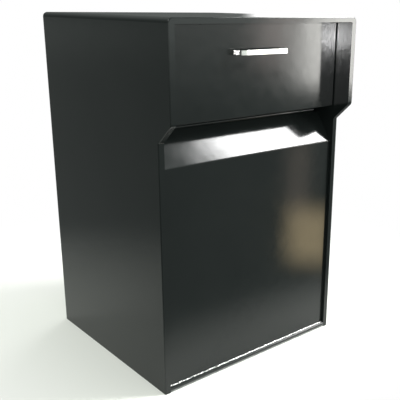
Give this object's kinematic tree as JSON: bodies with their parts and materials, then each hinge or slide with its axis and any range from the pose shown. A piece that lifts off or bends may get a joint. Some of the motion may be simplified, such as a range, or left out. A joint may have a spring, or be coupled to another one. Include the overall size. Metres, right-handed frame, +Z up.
{
  "type": "parcel drop box",
  "caption": "Free-standing steel parcel drop box with a projecting hood over a tilt-out hopper, a recessed lower front with a sloping shed, and a lockable rear door.",
  "frame": {"origin": "middle of the footprint, on the floor", "axes": "+Z up, the hopper faces -Y, +X to the right of someone facing the front"},
  "size_m": [0.527, 0.538, 0.813],
  "materials": {
    "black_powder_coat": "glossy black powder coat on folded sheet steel",
    "satin_handle": "satin nickel on steel",
    "zinc_plate": "bright zinc plate",
    "lock_chrome": "chromed die-cast zinc",
    "rubber": "moulded black rubber"
  },
  "bodies": {
    "cabinet": {"left_side_skin": "black_powder_coat", "right_side_skin": "black_powder_coat", "left_side_liner": "black_powder_coat", "right_side_liner": "black_powder_coat", "top_skin": "black_powder_coat", "ceiling_liner": "black_powder_coat", "front_sill": "black_powder_coat", "lower_front_panel": "black_powder_coat", "panel_cleats": "black_powder_coat", "base_plate": "black_powder_coat", "left_rear_stile": "black_powder_coat", "right_rear_stile": "black_powder_coat", "rear_upper_panel": "black_powder_coat", "rear_sill": "black_powder_coat", "baffle_plate": "black_powder_coat", "hopper_stop": "black_powder_coat", "door_stops": "black_powder_coat", "lock_strike": "zinc_plate", "hopper_bumpers": "rubber", "hopper_hinge_fixed_leaf": "black_powder_coat", "hopper_hinge_pin": "zinc_plate", "door_hinge_fixed_leaf": "zinc_plate", "door_hinge_pin": "zinc_plate", "door_bumpers": "rubber"},
    "hopper": {"hopper_front": "black_powder_coat", "hopper_tray": "black_powder_coat", "hopper_stiffener": "black_powder_coat", "left_hopper_cheek": "black_powder_coat", "right_hopper_cheek": "black_powder_coat", "hopper_hinge_moving_leaf": "black_powder_coat", "handle_bar": "satin_handle", "handle_screws": "zinc_plate"},
    "rear_door": {"rear_door": "black_powder_coat", "door_stiffener": "black_powder_coat", "door_hinge_moving_leaf": "zinc_plate", "lock_body": "lock_chrome", "lock_nut": "zinc_plate"},
    "lock_core": {"lock_plug": "lock_chrome", "lock_cam": "zinc_plate", "cam_screw": "zinc_plate"}
  },
  "joints": [
    {"name": "hopper_tilt", "type": "hinge", "parent": "cabinet", "child": "hopper", "pos_m": [0, -0.16578, 0.58691], "axis": [1, 0, 0], "range_deg": [0, 50]},
    {"name": "rear_door_swing", "type": "hinge", "parent": "cabinet", "child": "rear_door", "pos_m": [-0.225, 0.2635, 0.325], "axis": [0, 0, 1], "range_deg": [0, 110]},
    {"name": "lock_turn", "type": "hinge", "parent": "rear_door", "child": "lock_core", "pos_m": [0.198, 0.248, 0.325], "axis": [0, -1, 0], "range_deg": [0, 90]}
  ]
}
